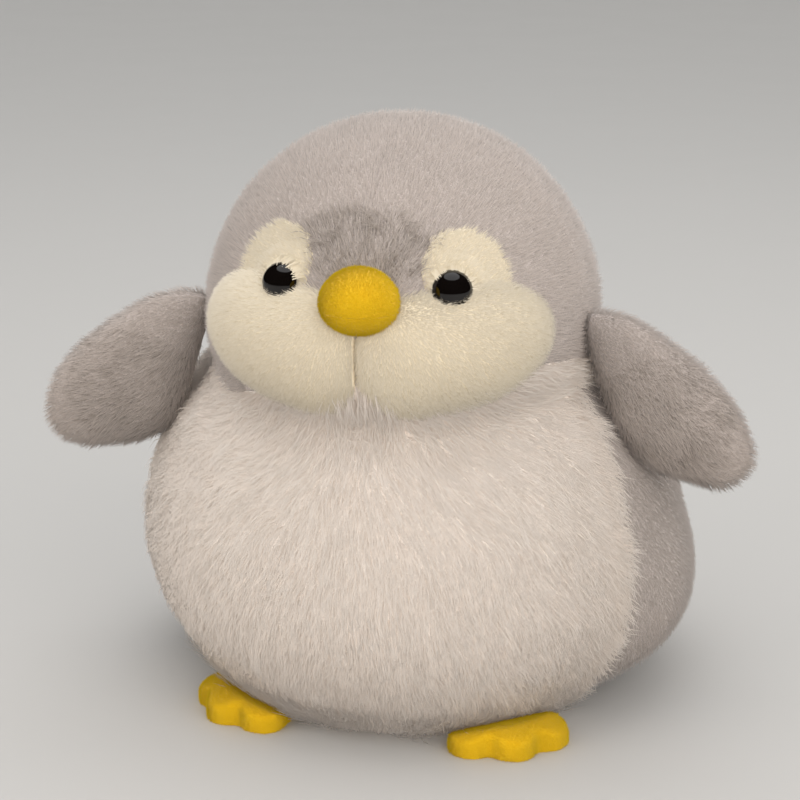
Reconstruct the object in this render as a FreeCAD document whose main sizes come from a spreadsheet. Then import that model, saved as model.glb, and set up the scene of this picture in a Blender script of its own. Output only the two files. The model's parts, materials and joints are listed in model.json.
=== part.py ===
import FreeCAD, Part
import math
import os
import Sketcher
from FreeCAD import Placement, Rotation, Vector

# A stuffed plush penguin that sits on its flat base. Millimetres, +Z up, the face looks along -Y.
# The origin is the middle of the flat base. "left" is the penguin's own left, towards +X.
# The body and the head are two overlapping rounds that share one flat neck cut, and the panels
# of plush are shells of them. The wings and the feet turn on their own sewn seams.

# Every driving size: alias, value, what it is. Angles are in degrees.
DIMENSIONS = (
    ("plush_wall", 5, "body and head plush: backing and pressed pile"),
    ("body_radius", 131, "body at its widest ring, and the round above it"),
    ("waist_height", 76, "height of the widest ring"),
    ("base_radius", 86, "flat base"),
    ("base_wall", 3, "base panel thickness"),
    ("body_turn", -8, "how far the body is sewn on turned from the face"),
    ("side_seam", 71, "side seams of the belly, each way from its middle"),
    ("head_radius", 92, "head round"),
    ("head_height", 188, "middle of the head above the base"),
    ("head_forward", 27, "middle of the head ahead of the body's axis"),
    ("head_seam", 78, "side seams of the head, each way from the face"),
    ("chin_rise", 20.36, "the white chin panel, up under the cheeks from the front of the neck"),
    ("eye_diameter", 18, "plastic safety eye"),
    ("eye_dome", 7, "height of the eye's dome"),
    ("eye_sink", 1.5, "how deep the eye's rim sits in the pile"),
    ("eye_turn", 26, "eye, sideways from the middle of the face"),
    ("eye_lift", 18.5, "eye, upwards from the middle of the head"),
    ("stem_diameter", 4, "eye stem through the plush"),
    ("stem_length", 12, "eye stem"),
    ("washer_diameter", 17, "lock washer behind the plush"),
    ("washer_wall", 2, "lock washer thickness"),
    ("washer_bite", 0.8, "how far the washer presses into the backing"),
    ("patch_radius", 20, "pale eye patch"),
    ("patch_turn", 31, "patch, sideways from the middle of the face"),
    ("patch_lift", 23, "patch, upwards from the middle of the head"),
    ("cheek_length", 98, "cheek pouch from end to end"),
    ("cheek_depth", 65, "cheek pouch across"),
    ("cheek_sink", 23, "middle of the cheek inside the head's round"),
    ("cheek_turn", 28, "cheek, sideways from the middle of the face"),
    ("cheek_rise", 1, "middle of the cheek above the middle of the head"),
    ("cheek_wall", 3, "short pile of the cheek"),
    ("beak_width", 37, "beak across"),
    ("beak_height", 31, "beak, top to bottom"),
    ("beak_depth", 34, "beak, front to back, the back half inside the head"),
    ("beak_sink", 4, "middle of the beak back from the front of the head"),
    ("beak_rise", 25, "middle of the beak above the middle of the head"),
    ("beak_seam_drop", 4, "seam between the beak's two panels, below its middle"),
    ("beak_wall", 2, "short pile of the beak"),
    ("wing_width", 84, "wing at its widest, along its seam"),
    ("wing_reach", 49, "wing tip out from its seam"),
    ("wing_drop", 42, "middle of the wing tip down along its seam"),
    ("wing_thickness", 28, "wing at its fullest"),
    ("wing_wall", 3, "wing plush"),
    ("wing_gap", 2.5, "wing root clear of the body, taken up by its seam"),
    ("wing_lead", 13, "wing seam ahead of the penguin's side"),
    ("wing_sweep", 6, "wing at rest, swept back from square"),
    ("wing_seat", 57, "middle of the wing seam above the ring where it leaves the body"),
    ("feet_turn", -2, "how far the pair of feet is turned from the face"),
    ("foot_azimuth", 39, "foot, sideways from the middle of the pair"),
    ("toe_out", 27, "foot's own direction from the middle of the pair"),
    ("foot_height", 18, "foot at its fullest"),
    ("foot_dome", 60, "radius of the foot's rounded top"),
    ("toe_radius", 11, "each of the three toes"),
    ("toe_spread", 17, "outer toes, sideways from the middle one"),
    ("toe_reach", 26, "middle toe's centre, out from the foot's seam"),
    ("toe_setback", 7, "outer toes, behind the middle one"),
    ("palm_radius", 22, "round pad behind the toes"),
    ("palm_reach", 8, "pad's centre, out from the foot's seam"),
    ("foot_room", 9.5, "height of the belly's edge above the table over the foot"),
    ("foot_tuck", 7.8, "how far the feet's seams lie in from that edge"),
    ("foot_flex", 12, "how far a foot flexes up under the belly"),
    ("foot_wall", 2, "foot plush and sole"),
    ("foot_gap", 0.5, "foot clear of the body"),
)

# Lengths that follow from the sizes above.
DERIVED = (
    ("head_rise", "head_height - waist_height", "middle of the head above the middle of the body"),
    ("head_span", "sqrt(head_forward^2 + head_rise^2)", "between those two middles"),
    (
        "neck_span",
        "(head_span^2 + body_radius^2 - head_radius^2) / (2 * head_span)",
        "middle of the neck ring from the middle of the body",
    ),
    ("neck_radius", "sqrt(body_radius^2 - neck_span^2)", "ring where the body and head rounds meet"),
    (
        "chin_top",
        "waist_height + (neck_span * head_rise - neck_radius * head_forward) / head_span + chin_rise",
        "top of the chin panel above the base",
    ),
    (
        "side_round",
        "((body_radius - base_radius)^2 + (waist_height - base_wall)^2) / (2 * (body_radius - base_radius))",
        "radius of the body's side below its widest ring",
    ),
    (
        "foot_seat",
        "body_radius - side_round + sqrt(side_round^2 - (waist_height - foot_room)^2) - foot_tuck",
        "feet's seams from the body's axis",
    ),
)

# The wing from its seam to its tip: share of the reach, share of the drop, share of the width,
# share of the thickness. It is thin where it is sewn, so that it can turn there.
WING_SECTIONS = (
    (0.00, 0.00, 0.76, 0.08),
    (0.18, 0.28, 0.98, 0.62),
    (0.44, 0.56, 1.00, 1.00),
    (0.70, 0.79, 0.80, 0.92),
    (0.88, 0.92, 0.56, 0.66),
    (1.00, 1.00, 0.26, 0.30),
)
SEWN_SECTIONS = 1   # sections next to the seam that are plush only, with no stuffing between

doc = FreeCAD.newDocument("plush_penguin")
start = dict((alias, value) for alias, value, note in DIMENSIONS)
node_names = []


def make_sheet():
    """Fill the sheet that every size is bound to."""
    sheet = doc.addObject("Spreadsheet::Sheet", "Size")
    derived = tuple((alias, "=" + formula, note) for alias, formula, note in DERIVED)
    for row, (alias, value, note) in enumerate(DIMENSIONS + derived, start=1):
        sheet.set(f"A{row}", alias)
        sheet.set(f"B{row}", str(value))
        sheet.set(f"C{row}", note)
        sheet.setAlias(f"B{row}", alias)
    doc.recompute()


def step(x=0, y=0, z=0, axis="z", turn=0):
    """The words for one move: to x, y, z, and turned about one axis."""
    way = {"x": "1; 0; 0", "y": "0; 1; 0", "z": "0; 0; 1"}[axis]
    rotation = f"create(<<rotation>>; create(<<vector>>; {way}); {turn})"
    return f"create(<<placement>>; create(<<vector>>; {x}; {y}; {z}); {rotation})"


def chain(*steps):
    return " * ".join(steps)


def add(kind, name, place=None, **sizes):
    """A Part object with its sizes and its place bound to the sheet."""
    piece = doc.addObject(kind, name)
    for key, words in sizes.items():
        piece.setExpression(key, words)
    if place:
        piece.setExpression("Placement", place)
    return piece


def node(piece, label):
    """Name a finished sub-part. The name is its file's name too."""
    piece.Label = label
    node_names.append(label)
    return piece


def fuse(name, *pieces):
    whole = doc.addObject("Part::MultiFuse", name)
    whole.Shapes = list(pieces)
    return whole


def cut(name, base, *tools):
    result = doc.addObject("Part::Cut", name)
    result.Base = base
    result.Tool = tools[0] if len(tools) == 1 else fuse(name + "_tools", *tools)
    return result


def common(name, first, second):
    result = doc.addObject("Part::Common", name)
    result.Base = first
    result.Tool = second
    return result


def mirrored(name, source):
    """The same piece on the penguin's right."""
    copy = doc.addObject("Part::Mirroring", name)
    copy.Source = source
    copy.Normal = Vector(1, 0, 0)
    return copy


def half_space(name, place):
    """Everything on the +Z side of a place, as far as the penguin goes."""
    return add("Part::Cylinder", name, place, Radius=SPACE, Height=SPACE)


def body_profile(name, growth):
    """Half of the body's outline in the XZ plane, grown or shrunk from its outer face."""
    sketch = doc.addObject("Sketcher::SketchObject", name)
    sketch.Placement = Placement(Vector(), Rotation(Vector(1, 0, 0), 90))
    waist = start["waist_height"]
    bottom = start["base_wall"]
    widest = start["body_radius"]
    base = start["base_radius"]
    bulge = widest - base
    side = (bulge**2 + (waist - bottom)**2) / (2 * bulge)
    side_middle = Vector(widest - side, waist, 0)
    base_edge = Vector(base, bottom, 0)
    up = Vector(0, 0, 1)
    angle = -(side_middle - base_edge).getAngle(Vector(-1, 0, 0))
    sketch.addGeometry(Part.LineSegment(Vector(0, bottom, 0), base_edge))
    sketch.addGeometry(Part.ArcOfCircle(Part.Circle(side_middle, up, side), angle, 0))
    sketch.addGeometry(
        Part.ArcOfCircle(Part.Circle(Vector(0, waist, 0), up, widest), 0, math.pi / 2)
    )
    sketch.addGeometry(Part.LineSegment(Vector(0, waist + widest, 0), Vector(0, bottom, 0)))
    floor, lower, upper, axis = range(4)
    vertical, origin = -2, -1
    for rule in (
        ("Coincident", floor, 2, lower, 1),
        ("Tangent", lower, 2, upper, 1),
        ("Coincident", upper, 2, axis, 1),
        ("Coincident", axis, 2, floor, 1),
        ("Horizontal", floor),
        ("PointOnObject", floor, 1, vertical),
        ("PointOnObject", axis, 1, vertical),
        ("PointOnObject", upper, 3, vertical),
        ("Horizontal", upper, 3, upper, 1),
    ):
        sketch.addConstraint(Sketcher.Constraint(*rule))
    for rule, name_of_size, words in (
        (("DistanceY", origin, 1, floor, 1, bottom), "bottom", "Size.base_wall"),
        (("DistanceX", origin, 1, lower, 1, base), "base", f"Size.base_radius + {growth}"),
        (("DistanceY", origin, 1, upper, 3, waist), "waist", "Size.waist_height"),
        (("Radius", upper, widest), "widest", f"Size.body_radius + {growth}"),
    ):
        index = sketch.addConstraint(Sketcher.Constraint(*rule))
        sketch.renameConstraint(index, name_of_size)
        sketch.setExpression(f"Constraints.{name_of_size}", words)
    return sketch


def body_round(name, profile, place=None, angle="360"):
    """A turn of the body's outline about +Z, or a slice of it."""
    turned = doc.addObject("Part::Revolution", name)
    turned.Source = profile
    turned.Axis = Vector(0, 0, 1)
    turned.Solid = True
    turned.setExpression("Angle", angle)
    if place:
        turned.setExpression("Placement", place)
    return turned


# Shared places. The body's own middle, and the tilted line from it to the middle of the head.
SPACE = "3 * Size.body_radius"
BODY_MIDDLE = step(z="Size.waist_height", axis="x", turn="atan2(Size.head_forward; Size.head_rise)")
NECK_PLACE = chain(BODY_MIDDLE, step(z="Size.neck_span"))
HEAD_MIDDLE = step(y="-Size.head_forward", z="Size.head_height")
BELLY_MIDDLE = "(Size.body_turn - 90)"


def aim(turn, lift):
    """+Z from the middle of the head out through a spot on the face."""
    return chain(HEAD_MIDDLE, step(axis="z", turn=turn), step(axis="x", turn=f"90 - {lift}"))


def make_forms():
    """The rounds that the panels are shells of, and the cuts that part them."""
    forms = {
        "outline": body_profile("body_outline", "0"),
        "inside": body_profile("body_inside_outline", "-Size.plush_wall"),
    }
    forms["body"] = body_round("body_whole", forms["outline"])
    forms["body_inside"] = body_round("body_inside", forms["inside"])
    forms["head"] = add("Part::Sphere", "head_round", HEAD_MIDDLE, Radius="Size.head_radius")
    forms["head_inside"] = add(
        "Part::Sphere", "head_inside", HEAD_MIDDLE, Radius="Size.head_radius - Size.plush_wall"
    )
    forms["above_neck"] = half_space("above_neck", NECK_PLACE)
    forms["below_neck"] = half_space("below_neck", chain(NECK_PLACE, step(axis="x", turn=180)))
    forms["chin"] = add(
        "Part::Cylinder",
        "chin_zone",
        step(axis="z", turn=f"{BELLY_MIDDLE} - Size.side_seam"),
        Radius=SPACE,
        Height="Size.chin_top",
        Angle="2 * Size.side_seam",
    )
    forms["head_shell"] = cut("head_shell", forms["head"], forms["head_inside"], forms["below_neck"])
    return forms


def make_body(forms):
    """Belly and chin panels, two back panels, base panel and the stuffing inside."""
    seam = "Size.side_seam"
    slices = {
        "belly": (f"{BELLY_MIDDLE} - {seam}", f"2 * {seam}"),
        "back_panel_left": (f"{BELLY_MIDDLE} + {seam}", f"180 - {seam}"),
        "back_panel_right": (f"{BELLY_MIDDLE} + 180", f"180 - {seam}"),
    }
    panels = {}
    for name, (first, angle) in slices.items():
        blank = body_round(name + "_round", forms["outline"], step(axis="z", turn=first), angle)
        panels[name] = cut(name + "_shell", blank, forms["body_inside"], forms["above_neck"])
    chin = common("chin", forms["head_shell"], forms["chin"])
    node(panels["belly"], "belly_panel")
    node(chin, "chin_panel")
    node(panels["back_panel_left"], "back_panel_left")
    node(panels["back_panel_right"], "back_panel_right")
    node(
        add("Part::Cylinder", "base_disc", Radius="Size.base_radius", Height="Size.base_wall"),
        "base_panel",
    )
    node(cut("body_filling", forms["body_inside"], forms["above_neck"]), "body_stuffing")


def make_eye():
    """The left eye, domed in front with a stem behind, and its lock washer."""
    rim = "Size.eye_diameter / 2"
    ball = f"(({rim})^2 + Size.eye_dome^2) / (2 * Size.eye_dome)"
    eye_place = chain(
        aim("Size.eye_turn", "Size.eye_lift"), step(z="Size.head_radius - Size.eye_sink")
    )
    whole_ball = add(
        "Part::Sphere", "eye_ball", chain(eye_place, step(z=f"Size.eye_dome - {ball}")), Radius=ball
    )
    dome = common("eye_dome", whole_ball, half_space("eye_front", eye_place))
    stem = add(
        "Part::Cylinder",
        "eye_stem",
        chain(eye_place, step(axis="x", turn=180)),
        Radius="Size.stem_diameter / 2",
        Height="Size.stem_length",
    )
    eye = fuse("eye", dome, stem)
    washer_place = chain(
        aim("Size.eye_turn", "Size.eye_lift"),
        step(z="Size.head_radius - Size.plush_wall + Size.washer_bite - Size.washer_wall"),
    )
    disc = add(
        "Part::Cylinder",
        "washer_disc",
        washer_place,
        Radius="Size.washer_diameter / 2",
        Height="Size.washer_wall",
    )
    return eye, cut("washer", disc, stem)


def ellipsoid(name, place, across, height, depth, wall="0"):
    """A stuffed round, across along X, its cover's wall thinner than its outer face."""
    return add(
        "Part::Ellipsoid",
        name,
        place,
        Radius1=f"{height} / 2 - {wall}",
        Radius2=f"{across} / 2 - {wall}",
        Radius3=f"{depth} / 2 - {wall}",
    )


def make_beak(forms):
    """Upper and lower beak panels, meeting at a seam below the middle, and their stuffing."""
    size = ("Size.beak_width", "Size.beak_height", "Size.beak_depth")
    place = chain(HEAD_MIDDLE, step(y="-(Size.head_radius - Size.beak_sink)", z="Size.beak_rise"))
    whole = ellipsoid("beak_round", place, *size)
    inside = ellipsoid("beak_inside", place, *size, wall="Size.beak_wall")
    seam = chain(place, step(z="-Size.beak_seam_drop"))
    above = half_space("above_beak_seam", seam)
    below = half_space("below_beak_seam", chain(seam, step(axis="x", turn=180)))
    node(cut("beak_top", whole, inside, forms["head"], below), "beak_upper")
    node(cut("beak_bottom", whole, inside, forms["head"], above), "beak_lower")
    node(cut("beak_filling", inside, forms["head"]), "beak_stuffing")
    return whole


def make_face(forms):
    """Eyes, patches, cheeks, beak and the four grey panels and stuffing behind them."""
    eye, washer = make_eye()
    beak = make_beak(forms)
    patch_zone = add(
        "Part::Cylinder",
        "patch_zone",
        aim("Size.patch_turn", "Size.patch_lift"),
        Radius="Size.patch_radius",
        Height=SPACE,
    )
    patch = cut("patch", common("patch_shell", forms["head_shell"], patch_zone), eye, washer)
    size = ("Size.cheek_length", "Size.cheek_depth", "Size.cheek_depth")
    place = chain(
        HEAD_MIDDLE,
        step(axis="z", turn="Size.cheek_turn"),
        step(y="-(Size.head_radius - Size.cheek_sink)", z="Size.cheek_rise"),
    )
    whole = ellipsoid("cheek_round", place, *size)
    inside = ellipsoid("cheek_inside", place, *size, wall="Size.cheek_wall")
    far_side = half_space("right_of_middle", step(axis="y", turn=-90))
    near_side = half_space("right_of_wall", step(x="Size.cheek_wall", axis="y", turn=-90))
    filling = cut("cheek_filling", inside, forms["head"], forms["body"], near_side, beak, eye)
    cheek = cut("cheek", whole, filling, forms["head"], forms["body"], far_side, beak, eye)
    pieces = (
        (eye, "eye"),
        (washer, "eye_washer"),
        (patch, "eye_patch"),
        (cheek, "cheek"),
        (filling, "cheek_stuffing"),
    )
    for piece, label in pieces:
        node(piece, label + "_left")
        node(mirrored(label + "_mirror", piece), label + "_right")
    eyes = (eye, mirrored("eye_right_form", eye))
    for label, first, angle in (
        ("head_front", "-90", "Size.head_seam"),
        ("head_back", "Size.head_seam - 90", "180 - Size.head_seam"),
    ):
        for side in ("left", "right"):
            begin = first if side == "left" else f"-180 - ({first}) - ({angle})"
            quarter = add(
                "Part::Cylinder",
                f"{label}_{side}_zone",
                chain(HEAD_MIDDLE, step(z=f"-{SPACE} / 2", turn=begin)),
                Radius=SPACE,
                Height=SPACE,
                Angle=angle,
            )
            blank = common(f"{label}_{side}_shell", forms["head_shell"], quarter)
            patches = (patch_zone, mirrored(f"{label}_{side}_patches", patch_zone))
            panel = cut(f"{label}_{side}", blank, forms["chin"], *patches, *eyes)
            node(panel, f"{label}_{side}")
    fixings = fuse("fixings", eye, washer)
    filling = cut(
        "head_filling",
        forms["head_inside"],
        forms["below_neck"],
        fixings,
        mirrored("fixings_right", fixings),
    )
    node(filling, "head_stuffing")


def wing_loft(name, place, wall, sections):
    """A smooth round through oval sections, each inset by the wall."""
    ovals = []
    for number, (reach, drop, width, thickness) in enumerate(sections):
        last = number == len(sections) - 1
        inset = f" - {wall}" if last else ""
        oval = add(
            "Part::Ellipse",
            f"{name}_oval_{number + 1}",
            step(x=f"{drop} * Size.wing_drop", z=f"{reach} * Size.wing_reach{inset}"),
            MajorRadius=f"{width} * Size.wing_width / 2 - {wall}",
            MinorRadius=f"{thickness} * Size.wing_thickness / 2 - {wall}",
        )
        ovals.append(oval)
    loft = doc.addObject("Part::Loft", name)
    loft.Sections = ovals
    loft.Solid = True
    loft.setExpression("Placement", place)
    return loft


def make_wings():
    """Each wing turns on the straight seam that touches both the body and the head."""
    slope = "asin((Size.body_radius - Size.head_radius) / Size.head_span)"
    place = chain(
        BODY_MIDDLE,
        step(axis="z", turn="-Size.wing_lead"),
        step(axis="y", turn=f"-{slope}"),
        step(x="Size.body_radius + Size.wing_gap", z="Size.wing_seat"),
        step(axis="z", turn="Size.wing_sweep"),
        step(axis="y", turn=90),
    )
    whole = wing_loft("wing_round", place, "0", WING_SECTIONS)
    inside = wing_loft("wing_inside", place, "Size.wing_wall", WING_SECTIONS[SEWN_SECTIONS:-1])
    front = half_space("wing_front_side", chain(place, step(axis="x", turn=90)))
    back = half_space("wing_back_side", chain(place, step(axis="x", turn=-90)))
    for piece, label in (
        (cut("wing_front", whole, inside, back), "wing_front"),
        (cut("wing_back", whole, inside, front), "wing_back"),
        (inside, "wing_stuffing"),
    ):
        node(piece, label + "_left")
        node(mirrored(label + "_mirror", piece), label + "_right")


def foot_pad(name, place, wall, floor):
    """A round pad with three toes under a domed top, inset by the wall."""
    discs = [("palm", "0", "Size.palm_reach", "Size.palm_radius")]
    outer_reach = "Size.toe_reach - Size.toe_setback"
    discs.append(("middle_toe", "0", "Size.toe_reach", "Size.toe_radius"))
    discs.append(("left_toe", "Size.toe_spread", outer_reach, "Size.toe_radius"))
    discs.append(("right_toe", "-Size.toe_spread", outer_reach, "Size.toe_radius"))
    rounds = []
    for label, side, reach, radius in discs:
        rounds.append(
            add(
                "Part::Cylinder",
                f"{name}_{label}",
                chain(place, step(x=side, y=f"-({reach})", z=floor)),
                Radius=f"{radius} - {wall}",
                Height="Size.foot_height",
            )
        )
    dome = add(
        "Part::Sphere",
        name + "_dome",
        chain(place, step(y="-Size.palm_reach", z="Size.foot_height - Size.foot_dome")),
        Radius=f"Size.foot_dome - {wall}",
    )
    return common(name, fuse(name + "_outline", *rounds), dome)


def make_feet():
    """Each foot lies under the edge of the belly and is cut back to clear it as it flexes."""
    gap = "Size.foot_gap"
    rooms = {
        "outer": (body_profile("foot_room_outline", f"2 * {gap}"), gap),
        "inner": (body_profile("foot_filling_room_outline", f"2 * ({gap} + Size.foot_wall)"),
                  f"{gap} + Size.foot_wall"),
    }
    for side, way in (("left", 1), ("right", -1)):
        station = step(axis="z", turn=f"Size.feet_turn + {way} * Size.foot_azimuth")
        to_seam = step(y=f"-(Size.foot_seat + {gap})")
        from_seam = step(y=f"Size.foot_seat + {gap}")
        heading = f"{way} * (Size.toe_out - Size.foot_azimuth)"
        place = chain(station, to_seam, step(axis="z", turn=heading))
        flexed = chain(
            place,
            step(axis="x", turn="Size.foot_flex"),
            step(axis="z", turn=f"-({heading})"),
            from_seam,
        )
        clear = {}
        for layer, (profile, room) in rooms.items():
            tools = []
            for pose, spot in (("rest", station), ("flexed", flexed)):
                name = f"foot_{side}_{layer}_{pose}"
                tools.append(body_round(name + "_body", profile, spot))
                tools.append(
                    add(
                        "Part::Cylinder",
                        name + "_base",
                        spot,
                        Radius=f"Size.base_radius + {room}",
                        Height="Size.base_wall",
                    )
                )
            behind = half_space(f"foot_{side}_{layer}_behind", chain(place, step(axis="x", turn=-90)))
            clear[layer] = tools + [behind]
        whole = cut(f"foot_{side}_pad", foot_pad(f"foot_{side}_form", place, "0", "0"), *clear["outer"])
        filling = cut(
            f"foot_{side}_filling",
            foot_pad(f"foot_{side}_inside", place, "Size.foot_wall", "Size.foot_wall"),
            *clear["inner"],
        )
        sole_top = half_space(f"foot_{side}_above_sole", chain(place, step(z="Size.foot_wall")))
        sole_under = half_space(
            f"foot_{side}_sole_layer",
            chain(place, step(z="Size.foot_wall", axis="x", turn=180)),
        )
        node(cut(f"foot_{side}_cover", whole, filling, sole_under), f"foot_top_{side}")
        node(cut(f"foot_{side}_under", whole, sole_top), f"foot_sole_{side}")
        node(filling, f"foot_stuffing_{side}")


def check_and_write():
    """Refuse any failed object, then write one file for each sub-part."""
    doc.recompute()
    for piece in doc.Objects:
        if "Invalid" in piece.State or "Error" in piece.State:
            raise RuntimeError(f"{piece.Name} failed: {piece.State}")
    os.makedirs("parts", exist_ok=True)
    ready = []
    for label in node_names:
        piece = doc.getObjectsByLabel(label)[0]
        shape = piece.Shape
        if shape.isNull() or not shape.isValid() or len(shape.Solids) != 1:
            raise RuntimeError(f"{label} is not one valid solid: {len(shape.Solids)} solids")
        ready.append((label, shape))
    for label, shape in ready:
        shape.exportStep(f"parts/{label}.step")
        print(f"{label}: {shape.Volume / 1000:.1f} cm3")


make_sheet()
forms = make_forms()
make_body(forms)
make_face(forms)
make_wings()
make_feet()
check_and_write()
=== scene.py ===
import json
import math
from functools import partial

import bpy
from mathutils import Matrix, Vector

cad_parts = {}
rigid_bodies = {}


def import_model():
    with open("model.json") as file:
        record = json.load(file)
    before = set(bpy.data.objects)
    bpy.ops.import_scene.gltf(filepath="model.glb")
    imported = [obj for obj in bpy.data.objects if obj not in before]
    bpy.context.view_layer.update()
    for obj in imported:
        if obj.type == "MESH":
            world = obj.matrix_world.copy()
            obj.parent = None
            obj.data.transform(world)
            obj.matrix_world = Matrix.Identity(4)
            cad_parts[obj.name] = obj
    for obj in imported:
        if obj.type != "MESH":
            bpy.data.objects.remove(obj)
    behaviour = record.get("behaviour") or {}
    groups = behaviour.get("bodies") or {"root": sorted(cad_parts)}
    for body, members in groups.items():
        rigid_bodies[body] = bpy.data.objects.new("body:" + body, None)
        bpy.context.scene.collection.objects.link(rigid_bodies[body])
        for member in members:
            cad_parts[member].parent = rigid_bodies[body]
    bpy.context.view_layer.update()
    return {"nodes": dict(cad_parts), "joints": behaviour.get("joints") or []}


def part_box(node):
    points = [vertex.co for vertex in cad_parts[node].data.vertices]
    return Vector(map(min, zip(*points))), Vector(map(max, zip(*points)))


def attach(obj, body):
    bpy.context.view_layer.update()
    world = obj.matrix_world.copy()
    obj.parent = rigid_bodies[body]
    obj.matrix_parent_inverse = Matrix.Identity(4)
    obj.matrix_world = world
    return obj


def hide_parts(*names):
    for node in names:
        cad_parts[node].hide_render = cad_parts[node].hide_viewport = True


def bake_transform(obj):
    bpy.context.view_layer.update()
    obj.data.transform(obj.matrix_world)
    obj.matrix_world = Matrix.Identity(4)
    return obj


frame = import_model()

bl_info = {
    "name": "Plush penguin maker",
    "version": (1, 0, 0),
    "blender": (4, 5, 0),
    "location": "3D View > Sidebar > Plush",
    "description": "Sews, stuffs and furs a round plush penguin round its packed pattern",
    "category": "Add Mesh",
}

MM = 0.001
BODY_TURN = math.radians(-8)  # the body is sewn on turned a little to its right
FACE = Vector((0, -1, 0))
BODY_MIDDLE = Vector((0, 0, 76)) * MM
HEAD_MIDDLE = Vector((0, -27, 188)) * MM
HEAD_RADIUS = 92 * MM
NECK_AXIS = (HEAD_MIDDLE - BODY_MIDDLE).normalized()
NECK_POINT = BODY_MIDDLE + NECK_AXIS * 95.35 * MM
CHIN_POINT = Vector((0, -115, 176)) * MM
CHIN_UP = Vector((-0.15, 0.2, 1)).normalized()  # the white reaches higher on the left
BEAK_MIDDLE = Vector((0, -115, 213)) * MM
SIDE_SEAM = math.radians(67.5)  # the long pile hides the seam itself, a little further round
HEAD_SEAM = math.radians(78)
CREASE = -0.003  # the cheeks meet a little to the right of the middle
FRINGE_TOP = 14 * MM  # how high the pile that is pressed out on the table grows
EDGE_BAND = 0.07  # the belly's last strip of pile before each side seam, as an angle
EYE_TURN, EYE_LIFT = math.radians(26), math.radians(18.5)
PATCH_TURN, PATCH_LIFT = math.radians(31), math.radians(23)
PATCH_RADIUS = 19.5 * MM
ROOT_TUCK = 6 * MM  # how far behind its seam a wing's fabric starts
CHEEK_TURN, CHEEK_REACH = math.radians(28), 69.5 * MM  # each cheek's middle, round and out from the head's
CHEEK_OVERLAP = 3.4 * MM  # far enough past the crease to meet the other cheek once its pile is let in


# ---------------------------------------------------------------- settings


def length(name, note, default, least=0.0, most=1.0):
    return bpy.props.FloatProperty(
        name=name, description=note, default=default, min=least, max=most, unit="LENGTH", precision=4
    )


def angle(name, note, degrees):
    return bpy.props.FloatProperty(
        name=name, description=note, default=math.radians(degrees), subtype="ANGLE", unit="ROTATION"
    )


def colour(name, note, value):
    return bpy.props.StringProperty(name=name, description=note + ", as an sRGB hex value", default=value)


class PlushPile(bpy.types.PropertyGroup):
    """How long each pile is and how close its strands stand."""

    belly_pile: length("Belly pile", "Length of the long pile on the belly", 0.0135)
    back_pile: length("Back pile", "Length of the grey pile on back, head and wings", 0.0052)
    cheek_pile: length("Cheek pile", "Length of the short pile on cheeks and eye patches", 0.0038)
    ruffle: length("Ruffled locks", "Length of the tousled locks on the brow and wings", 0.0095)
    nap: length("Nap", "Length of the cropped nap on beak and feet", 0.0013)
    thickness: bpy.props.FloatProperty(
        name="Strand spread", description="Multiplies how close the strands stand", default=1.0, min=0.05, max=2
    )


class PlushColours(bpy.types.PropertyGroup):
    """The plush and plastic colours."""

    white: colour("Belly", "Colour of the belly pile", "#F5ECE2")
    grey: colour("Back", "Colour of the back, head and wing pile", "#DCD0C7")
    cream: colour("Face", "Colour of the cheeks and eye patches", "#E6DBC6")
    yellow: colour("Beak and feet", "Colour of the beak and feet nap", "#E4C024")
    eye: colour("Eyes", "Colour of the glossy eyes", "#0B0807")


class PlushStage(bpy.types.PropertyGroup):
    """The table, lights and camera."""

    table: colour("Table", "Colour of the table top", "#B9B7B3")
    azimuth: angle("Azimuth", "Camera angle round the toy", 12)
    elevation: angle("Elevation", "Camera angle above the table", 16.5)
    distance: length("Distance", "Camera distance from what it looks at", 1.0, 0.2, 5)
    lens: bpy.props.FloatProperty(name="Lens", description="Focal length in millimetres on a 36 mm frame", default=94.7)
    light: bpy.props.FloatProperty(name="Light", description="Multiplies the power of every lamp", default=1.0, min=0)


# ---------------------------------------------------------------- small helpers


def linear(code):
    """An sRGB hex colour as linear RGBA."""
    parts = [int(code[i : i + 2], 16) / 255 for i in (1, 3, 5)]
    return tuple(c / 12.92 if c <= 0.04045 else ((c + 0.055) / 1.055) ** 2.4 for c in parts) + (1.0,)


def put(tree, kind, inputs=None, **settings):
    """Adds one node with its settings. inputs maps a socket's name or number to a value or to another node's output."""
    made = tree.nodes.new(kind)
    for name, value in settings.items():
        setattr(made, name, value)
    for key, value in (inputs or {}).items():
        if isinstance(value, bpy.types.NodeSocket):
            tree.links.new(value, made.inputs[key])
        else:
            made.inputs[key].default_value = value
    return made


def result(tree, operation, *values):
    """The result of one arithmetic node."""
    return put(tree, "ShaderNodeMath", dict(enumerate(values)), operation=operation).outputs[0]


def vector(tree, operation, *values):
    """The result of one vector node. SCALE takes its factor second, and DOT_PRODUCT gives a number."""
    inputs = {0: values[0], "Scale": values[1]} if operation == "SCALE" else dict(enumerate(values))
    made = put(tree, "ShaderNodeVectorMath", inputs, operation=operation)
    return made.outputs["Value" if operation == "DOT_PRODUCT" else 0]


def stored(tree, geometry, name, value, kind="FLOAT", domain="POINT"):
    """The geometry with a value kept on it under a name."""
    inputs = {"Geometry": geometry, "Name": name, "Value": value}
    return put(tree, "GeometryNodeStoreNamedAttribute", inputs, data_type=kind, domain=domain).outputs[0]


def recalled(tree, name, kind="FLOAT"):
    """A value that was kept on the geometry."""
    return put(tree, "GeometryNodeInputNamedAttribute", {"Name": name}, data_type=kind).outputs[0]


def close_edit():
    bpy.ops.object.mode_set(mode="OBJECT")


def deselect():
    if bpy.context.object and bpy.context.object.mode != "OBJECT":
        close_edit()
    bpy.ops.object.select_all(action="DESELECT")


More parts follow.
